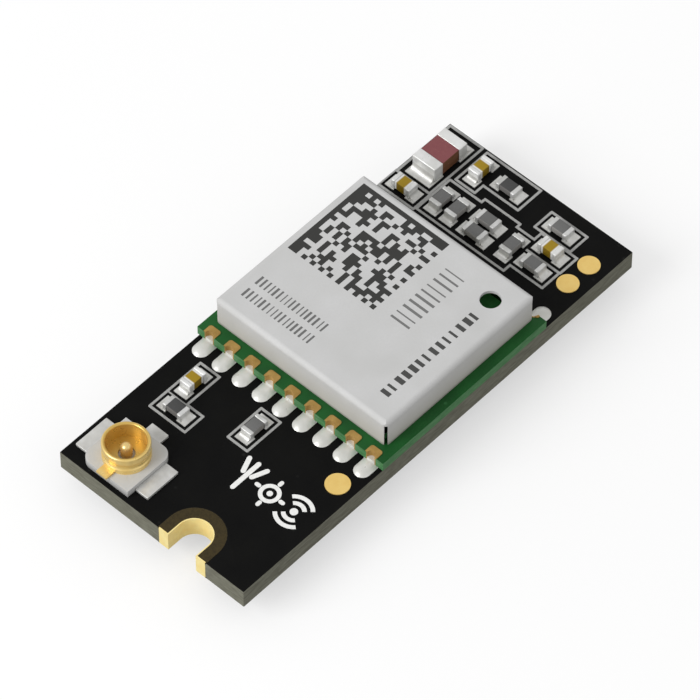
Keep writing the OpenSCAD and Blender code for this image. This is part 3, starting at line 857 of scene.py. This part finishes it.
FINISHES: Tuple[Finish, ...] = (
    Laminate(
        name="board_mask", roughness=0.6, specular=0.08, grain=5.0, relief=0.1,
        mask=srgb(14, 14, 13), mask_dark=srgb(10, 10, 10), speck=srgb(38, 38, 36),
        edge=srgb(124, 124, 111), edge_dark=srgb(103, 102, 90),
    ),
    CoveredLaminate(
        name="module_mask", roughness=0.45, specular=0.25, grain=5.0, relief=0.1,
        mask=srgb(22, 88, 34), mask_dark=srgb(16, 72, 28), speck=srgb(60, 120, 70),
        edge=srgb(84, 136, 88), edge_dark=srgb(64, 114, 70),
        # The mask under the shield can is painted light, so the vent shows green.
        cover="shield_can", painted_light_under_cover=srgb(104, 208, 118),
    ),
    Plating(
        name="gold_plate", metallic=0.55, roughness=0.42, grain=6.0, relief=0.12,
        light=srgb(250, 217, 134), dark=srgb(244, 206, 120),
    ),
    # notch_gold: gold plate painted paler and less metallic, a painted reflection of the white floor on
    # the notch wall.
    Plating(
        name="notch_gold", metallic=0.15, roughness=0.36, grain=4.0, relief=0.15,
        light=srgb(255, 238, 168), dark=srgb(250, 224, 146),
    ),
    Plating(
        name="contact_gold", metallic=0.5, roughness=0.45, grain=6.0, relief=0.15,
        light=srgb(192, 156, 90), dark=srgb(168, 134, 72),
    ),
    Printing(
        name="masked_copper", roughness=0.5, specular=0.2,
        ink=srgb(62, 52, 27), thin=srgb(46, 38, 20),
    ),
    Printing(
        name="outline_ink", roughness=0.7, specular=0.2, grain=9.0,
        ink=srgb(172, 172, 170), thin=srgb(146, 146, 144),
    ),
    Printing(
        name="sign_ink", roughness=0.7, specular=0.2, grain=9.0,
        ink=srgb(242, 242, 240), thin=srgb(222, 222, 219),
    ),
    Plating(
        name="solder", metallic=0.3, roughness=0.36, grain=3.0, relief=0.25,
        light=srgb(226, 226, 222), dark=srgb(208, 208, 202),
    ),
    # land_solder: solder painted darker, as painted shade on lands beside and behind the chips and under
    # the socket.
    Plating(
        name="land_solder", metallic=0.4, roughness=0.4, grain=4.0, relief=0.2,
        light=srgb(222, 222, 219), dark=srgb(196, 195, 191),
    ),
    CanSheet(
        name="can_sheet", node="shield_can",
        metallic=0.05, roughness=0.7, specular=0.06, grain=9.0, relief=0.2,
        # The third colour here is the darker, warmer tone towards the can's foot.
        sheet=srgb(205, 205, 205), shade=srgb(196, 196, 195), lower_tone=srgb(172, 166, 150),
        # foot is the colour of the painted shadow line along the can's foot.
        foot=srgb(104, 102, 94), etched=srgb(40, 40, 38),
    ),
    # chip_resin: its darker sides are painted shade.
    Moulding(
        name="chip_resin", roughness=0.6, specular=0.2,
        top=srgb(32, 32, 33), side=srgb(26, 26, 27), fleck=srgb(60, 60, 60),
    ),
    # dark_ceramic: its darker sides are painted shade.
    Moulding(
        name="dark_ceramic", roughness=0.65, specular=0.2,
        top=srgb(78, 72, 64), side=srgb(66, 60, 54), fleck=srgb(100, 94, 86),
    ),
    Plating(
        name="lid_metal", metallic=0.9, roughness=0.4, grain=6.0,
        light=srgb(214, 208, 190), dark=srgb(190, 184, 166),
    ),
    Moulding(
        name="resistor_glass", roughness=0.45, specular=0.25, grain=10.0,
        top=srgb(103, 103, 102), side=srgb(150, 148, 145), fleck=srgb(122, 122, 121),
    ),
    Moulding(
        name="dark_resistor_glass", roughness=0.45, specular=0.25, grain=10.0,
        top=srgb(67, 67, 67), side=srgb(120, 118, 116), fleck=srgb(87, 87, 87),
    ),
    # capacitor_ceramic: its darker sides are painted shade.
    Moulding(
        name="capacitor_ceramic", roughness=0.55, specular=0.2, grain=10.0,
        top=srgb(147, 122, 20), side=srgb(122, 98, 18), fleck=srgb(166, 142, 46),
    ),
    # Small capacitor cores: their darker sides are painted shade.
    *(
        RimmedCore(
            name=f"{core}_ceramic", node=core, roughness=0.5, specular=0.25, grain=10.0,
            top=srgb(152, 124, 22), side=srgb(122, 98, 18), fleck=srgb(168, 142, 46),
            tin=srgb(224, 224, 222),
        )
        for core in SMALL_CAPACITORS
    ),
    # bulk_ceramic: red top and brown sides, the sides also darker by painted shade.
    Moulding(
        name="bulk_ceramic", roughness=0.55, specular=0.2, grain=8.0,
        top=srgb(126, 72, 76), side=srgb(98, 66, 38), fleck=srgb(150, 96, 92),
    ),
    Plating(
        name="end_tin", metallic=0.5, roughness=0.36, grain=5.0, relief=0.2,
        light=srgb(224, 224, 223), dark=srgb(198, 198, 195),
    ),
    Plating(
        name="bright_tin", metallic=0.4, roughness=0.36, grain=5.0, relief=0.2,
        light=srgb(240, 240, 239), dark=srgb(220, 220, 217),
    ),
    # socket_plastic: its darker sides are painted shade.
    Moulding(
        name="socket_plastic", roughness=0.5, specular=0.3, flecks=0.1,
        top=srgb(192, 192, 190), side=srgb(178, 178, 176), fleck=srgb(206, 205, 203),
    ),
    Plating(
        name="socket_gold", metallic=0.6, roughness=0.3, spread=0.05, grain=3.0, relief=0.04,
        light=srgb(248, 222, 158), dark=srgb(238, 206, 134),
    ),
    CupPlating(
        name="cup_gold", node="socket_ring",
        metallic=0.6, roughness=0.3, spread=0.05, grain=3.0, relief=0.04,
        # inner is the painted shade on the cup's inside.
        light=srgb(248, 220, 148), dark=srgb(238, 204, 124), inner=srgb(219, 183, 100),
    ),
    # plug_plastic: its darker sides are painted shade.
    Moulding(
        name="plug_plastic", roughness=0.55, specular=0.25, flecks=0.1,
        top=srgb(216, 208, 188), side=srgb(204, 196, 176), fleck=srgb(228, 222, 206),
    ),
    FloorPaint(
        name="floor_paint", roughness=0.9, spread=0.02, specular=0.1, grain=0.2, relief=0.02,
        tone=srgb(180, 180, 180), tone_dark=srgb(176, 176, 176),
    ),
)


@dataclass
class SubAssembly:
    """A group of CAD nodes, and the finishes in which some of them differ from their slot's."""

    WELD_REACH: ClassVar[float] = 1e-7
    BREAK_SEGMENTS: ClassVar[int] = 2
    BREAK_ANGLE: ClassVar[float] = 40.0

    name: str
    nodes: Tuple[str, ...]
    special: Dict[str, str] = field(default_factory=dict)

    def build(self) -> List[bpy.types.Object]:
        """Adds no pieces by itself."""
        return []

    def dress(self, paints: Paints) -> None:
        """Gives each node the finish of its slot, or its special one.

        Args:
            paints: the materials by name.
        """
        slots = {part["node"]: part["material_slot"] for part in frame["record"]["subparts"]}
        for node in self.nodes:
            finish = self.special.get(node, slots[node])
            frame["nodes"][node].material_slots[0].material = paints[finish]
            LOG.info("%s: %s in %s", self.name, node, finish)

    def soften(self, node: str, width: float) -> None:
        """Breaks a node's sharp edges, as the real piece has them.

        Args:
            node: the node.
            width: width of the broken edge in millimetres.
        """
        piece = frame["nodes"][node]
        weld = piece.modifiers.new("joined_faces", "WELD")
        weld.merge_threshold = self.WELD_REACH
        bevel = piece.modifiers.new("broken_edges", "BEVEL")
        bevel.width = width * MM
        bevel.segments = self.BREAK_SEGMENTS
        bevel.limit_method = "ANGLE"
        bevel.angle_limit = math.radians(self.BREAK_ANGLE)
        piece.modifiers.new("even_shading", "WEIGHTED_NORMAL")


@dataclass
class InkSign:
    """A printed sign made of flat strokes that don't cross. Its up is the board's +X.

    Sizes are in millimetres, and the steps between the points of round strokes in degrees.
    """

    TIP_STEP: ClassVar[int] = 30
    DOT_STEP: ClassVar[int] = 15
    ARC_STEP: ClassVar[int] = 8
    ARC_LEAST: ClassVar[int] = 8

    name: str
    centre: Place
    stroke: float
    thickness: float = 0.02

    def __post_init__(self) -> None:
        """Starts an empty mesh."""
        self.mesh = bmesh.new()

    def _prism(self, outline: Sequence[Point]) -> None:
        """Adds a flat prism on the board.

        Args:
            outline: its corners, across the sign and up it, in millimetres.
        """
        x, y, base = self.centre
        bottom, top = (
            [self.mesh.verts.new(Vector((x + up, y - across, z)) * MM) for across, up in outline]
            for z in (base, base + self.thickness)
        )
        self.mesh.faces.new(bottom)
        self.mesh.faces.new(list(reversed(top)))
        for i in range(len(outline)):
            j = (i + 1) % len(outline)
            self.mesh.faces.new((bottom[i], top[i], top[j], bottom[j]))

    @staticmethod
    def _ring(middle: Point, radius: float, angles: Sequence[float]) -> List[Point]:
        """Lists the points of a circle at some angles in degrees."""
        turns = [math.radians(angle) for angle in angles]
        return [(middle[0] + radius * math.cos(t), middle[1] + radius * math.sin(t)) for t in turns]

    def bar(self, start: Point, end: Point) -> None:
        """Adds a straight stroke with round ends.

        Args:
            start: one end, across the sign and up it.
            end: the other end.
        """
        turn = math.degrees(math.atan2(end[1] - start[1], end[0] - start[0]))
        tips = [range(-90, 91, self.TIP_STEP), range(90, 271, self.TIP_STEP)]
        outline: List[Point] = []
        for tip, angles in zip((end, start), tips):
            outline += self._ring(tip, self.stroke / 2, [turn + angle for angle in angles])
        self._prism(outline)

    def arc(self, middle: Point, radius: float, start: float, end: float) -> None:
        """Adds a bent stroke.

        Args:
            middle: centre of its circle, across the sign and up it.
            radius: radius of its middle line.
            start: angle of one end in degrees.
            end: angle of the other end.
        """
        count = max(self.ARC_LEAST, int(abs(end - start) / self.ARC_STEP))
        angles = [start + (end - start) * i / count for i in range(count + 1)]
        outer = self._ring(middle, radius + self.stroke / 2, angles)
        inner = self._ring(middle, radius - self.stroke / 2, angles[::-1])
        self._prism(outer + inner)

    def dot(self, middle: Point, radius: float) -> None:
        """Adds a round spot."""
        self._prism(self._ring(middle, radius, range(0, 360, self.DOT_STEP)))

    def finish(self) -> bpy.types.Object:
        """Turns the strokes into a piece that rides on the board.

        Returns:
            The piece.
        """
        bmesh.ops.recalc_face_normals(self.mesh, faces=self.mesh.faces)
        data = bpy.data.meshes.new(self.name)
        self.mesh.to_mesh(data)
        self.mesh.free()
        piece = bpy.data.objects.new(self.name, data)
        bpy.context.scene.collection.objects.link(piece)
        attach(piece, BODY)
        return piece


@dataclass
class CarrierBoard(SubAssembly):
    """The black carrier board with its notch, pads, outlines and printed signs.

    Sizes are in millimetres. The wave sign's starts and sweep are in degrees.
    """

    sign_inset: Point = (4.15, 1.2)
    sign_pitch: float = 1.3
    stroke: float = 0.21
    thin_stroke: float = 0.18
    mast_half: float = 0.75
    arm_foot: Point = (0.23, 0.1)
    arm_tip: Point = (0.48, 0.73)
    mark_r: float = 0.38
    mark_spot_r: float = 0.13
    mark_tick: Point = (0.58, 0.7)
    wave_spot_r: float = 0.17
    wave_radii: Point = (0.42, 0.75)
    wave_starts: Point = (42.0, 222.0)
    wave_sweep: float = 96.0
    edge_break: float = 0.03
    signs: List[bpy.types.Object] = field(default_factory=list)

    def _sign(self, name: str, number: int, stroke: float) -> InkSign:
        """Starts a sign in the row beside the notch.

        Args:
            name: the sign's name.
            number: its place in the row, counted from the board's edge.
            stroke: width of its strokes.

        Returns:
            The empty sign.
        """
        board = Box.of("carrier_board")
        x = board.low.x + self.sign_inset[0]
        y = board.low.y + self.sign_inset[1] + number * self.sign_pitch
        return InkSign(name, (x, y, board.high.z), stroke)

    def _aerial(self) -> InkSign:
        """Draws an aerial: a mast with two raised arms.

        Returns:
            The sign.
        """
        sign = self._sign("aerial_sign", 2, self.stroke)
        sign.bar((0.0, -self.mast_half), (0.0, self.mast_half))
        for side in (-1, 1):
            foot, tip = ((side * across, up) for across, up in (self.arm_foot, self.arm_tip))
            sign.bar(foot, tip)
        return sign

    def _position(self) -> InkSign:
        """Draws a position mark: a ring with a spot and four ticks.

        Returns:
            The sign.
        """
        sign = self._sign("position_sign", 1, self.thin_stroke)
        for start in range(0, 360, 90):
            sign.arc(SIGN_MIDDLE, self.mark_r, start, start + 90)
        for across, up in ((1, 0), (0, 1), (-1, 0), (0, -1)):
            near, far = ((reach * across, reach * up) for reach in self.mark_tick)
            sign.bar(near, far)
        sign.dot(SIGN_MIDDLE, self.mark_spot_r)
        return sign

    def _waves(self) -> InkSign:
        """Draws radio waves: a spot between two pairs of arcs.

        Returns:
            The sign.
        """
        sign = self._sign("wave_sign", 0, self.thin_stroke)
        sign.dot(SIGN_MIDDLE, self.wave_spot_r)
        for radius in self.wave_radii:
            for start in self.wave_starts:
                sign.arc(SIGN_MIDDLE, radius, start, start + self.wave_sweep)
        return sign

    def build(self) -> List[bpy.types.Object]:
        """Prints three plain signs and lists them."""
        self.signs = [sign.finish() for sign in (self._aerial(), self._position(), self._waves())]
        return self.signs

    def dress(self, paints: Paints) -> None:
        """Dresses the nodes and the signs.

        Args:
            paints: the materials by name.
        """
        super().dress(paints)
        for sign in self.signs:
            sign.data.materials.append(paints["sign_ink"])
        self.soften("carrier_board", self.edge_break)


@dataclass
class AntennaSocket(SubAssembly):
    """The coaxial antenna socket."""

    edge_break: float = 0.03

    def dress(self, paints: Paints) -> None:
        """Dresses the nodes and breaks the base's edges.

        Args:
            paints: the materials by name.
        """
        super().dress(paints)
        for node in ("socket_base", "socket_solder"):
            self.soften(node, self.edge_break)


@dataclass
class ChipParts(SubAssembly):
    """The chip resistors and capacitors with their metal ends."""

    core_break: float = 0.015
    end_break: float = 0.025

    def dress(self, paints: Paints) -> None:
        """Dresses the nodes and breaks the edges of cores and ends.

        Args:
            paints: the materials by name.
        """
        super().dress(paints)
        for node in self.nodes:
            if node.endswith("_ends"):
                self.soften(node, self.end_break)
                self.soften(node.removesuffix("_ends"), self.core_break)


@dataclass
class HostPlug(SubAssembly):
    """The board-to-board plug underneath."""

    edge_break: float = 0.03

    def dress(self, paints: Paints) -> None:
        """Dresses the nodes and breaks the housing's edges."""
        super().dress(paints)
        self.soften("plug_housing", self.edge_break)


@dataclass(frozen=True)
class Lamp:
    """A square lamp that looks at the board. Sizes are in millimetres and watts."""

    name: str
    place: Place
    width: float
    power: float


@dataclass
class Stage:
    """Floor, light and camera. Sizes are in millimetres and angles in degrees."""

    floor_w: float = 4000.0
    aim: Place = (0.0, 0.0, 2.0)
    camera_distance: float = 236.346
    camera_rise: float = 52.46
    camera_bearing: float = 222.769
    lens: float = 303.43
    sensor: float = 36.0
    clip: Point = (10.0, 10000.0)
    sky: float = 0.66
    lamps: Tuple[Lamp, ...] = (
        Lamp("key_lamp", place=(-280.0, 110.0, 200.0), width=200.0, power=0.86),
        Lamp("fill_lamp", place=(80.0, -300.0, 160.0), width=300.0, power=0.08),
    )

    def _place(self, piece: bpy.types.Object, place: Place) -> None:
        """Puts a lamp or camera at a place and turns it to the aim.

        Args:
            piece: the lamp or camera.
            place: its place.
        """
        piece.location = Vector(place) * MM
        piece.rotation_euler = (Vector(self.aim) - Vector(place)).to_track_quat("-Z", "Y").to_euler()
        bpy.context.scene.collection.objects.link(piece)

    def floor(self, paint: bpy.types.Material) -> None:
        """Lays the pale floor under the plug.

        Args:
            paint: the floor's material.
        """
        half = self.floor_w / 2 * MM
        corners = [(-half, -half, 0.0), (half, -half, 0.0), (half, half, 0.0), (-half, half, 0.0)]
        data = bpy.data.meshes.new("floor")
        data.from_pydata(corners, [], [(0, 1, 2, 3)])
        data.materials.append(paint)
        piece = bpy.data.objects.new("floor", data)
        bpy.context.scene.collection.objects.link(piece)

    def light(self) -> None:
        """Sets the even sky and hangs the lamps."""
        world = bpy.data.worlds.new("studio_sky")
        world.use_nodes = True
        sky = world.node_tree.nodes["Background"].inputs
        sky["Color"].default_value = WHITE
        sky["Strength"].default_value = self.sky
        bpy.context.scene.world = world
        for lamp in self.lamps:
            data = bpy.data.lights.new(lamp.name, "AREA")
            data.size = lamp.width * MM
            data.energy = lamp.power
            self._place(bpy.data.objects.new(lamp.name, data), lamp.place)

    def camera(self) -> None:
        """Puts the camera at the photograph's viewing angle."""
        rise = math.radians(self.camera_rise)
        bearing = math.radians(self.camera_bearing)
        level = self.camera_distance * math.cos(rise)
        up = self.camera_distance * math.sin(rise)
        x, y, z = self.aim
        data = bpy.data.cameras.new("camera")
        data.sensor_width = self.sensor
        data.lens = self.lens
        data.clip_start = self.clip[0] * MM
        data.clip_end = self.clip[1] * MM
        camera = bpy.data.objects.new("camera", data)
        self._place(camera, (x + level * math.cos(bearing), y + level * math.sin(bearing), z + up))
        bpy.context.scene.camera = camera

    def set_up(self, paints: Paints) -> None:
        """Lays the floor, hangs the lamps and places the camera.

        Args:
            paints: the materials by name.
        """
        self.floor(paints["floor_paint"])
        self.light()
        self.camera()
        bpy.context.scene.view_settings.view_transform = "Standard"
        LOG.info("stage: floor, %d lamps and camera", len(self.lamps))


def assemblies() -> Tuple[SubAssembly, ...]:
    """Lists the sub-assemblies in the order in which they are built.

    Returns:
        The sub-assemblies.
    """
    cores = RESISTORS + SMALL_CAPACITORS + ["bulk_capacitor"]
    chips = cores + [f"{core}_ends" for core in cores] + ["chip_solder"]
    chip_finishes = {f"{core}_ends": "bright_tin" for core in SMALL_CAPACITORS + ["bulk_capacitor"]}
    chip_finishes.update({core: f"{core}_ceramic" for core in SMALL_CAPACITORS})
    chip_finishes.update({core: "dark_resistor_glass" for core in DARK_RESISTORS})
    chip_finishes["chip_solder"] = "land_solder"
    return (
        CarrierBoard("carrier board", (
            "carrier_board", "notch_plating", "notch_rings", "test_pads", "component_outlines",
        ), {"notch_plating": "notch_gold"}),
        SubAssembly("receiver module", (
            "module_substrate", "edge_contacts", "module_solder", "shield_can", "receiver_chip",
            "receiver_leads", "oscillator_base", "oscillator_lid", "crystal_base", "crystal_lid",
            "band_filter", "amplifier", "small_capacitors",
        ), {"edge_contacts": "contact_gold"}),
        AntennaSocket("antenna socket", (
            "socket_base", "socket_ring", "socket_contact", "socket_solder",
        ), {"socket_ring": "cup_gold", "socket_solder": "land_solder"}),
        ChipParts("chip parts", tuple(chips), chip_finishes),
        HostPlug("host plug", ("plug_housing", "plug_contacts", "plug_solder")),
    )


def main() -> None:
    """Builds and dresses the sub-assemblies and sets up the stage."""
    logging.basicConfig(level=logging.INFO, format="%(message)s")
    shelf = EffectShelf()
    paints = {finish.name: finish.material(shelf) for finish in FINISHES}
    for assembly in assemblies():
        for piece in assembly.build():
            LOG.info("%s: added %s", assembly.name, piece.name)
        assembly.dress(paints)
    Stage().set_up(paints)


if __name__ == "__main__":
    main()
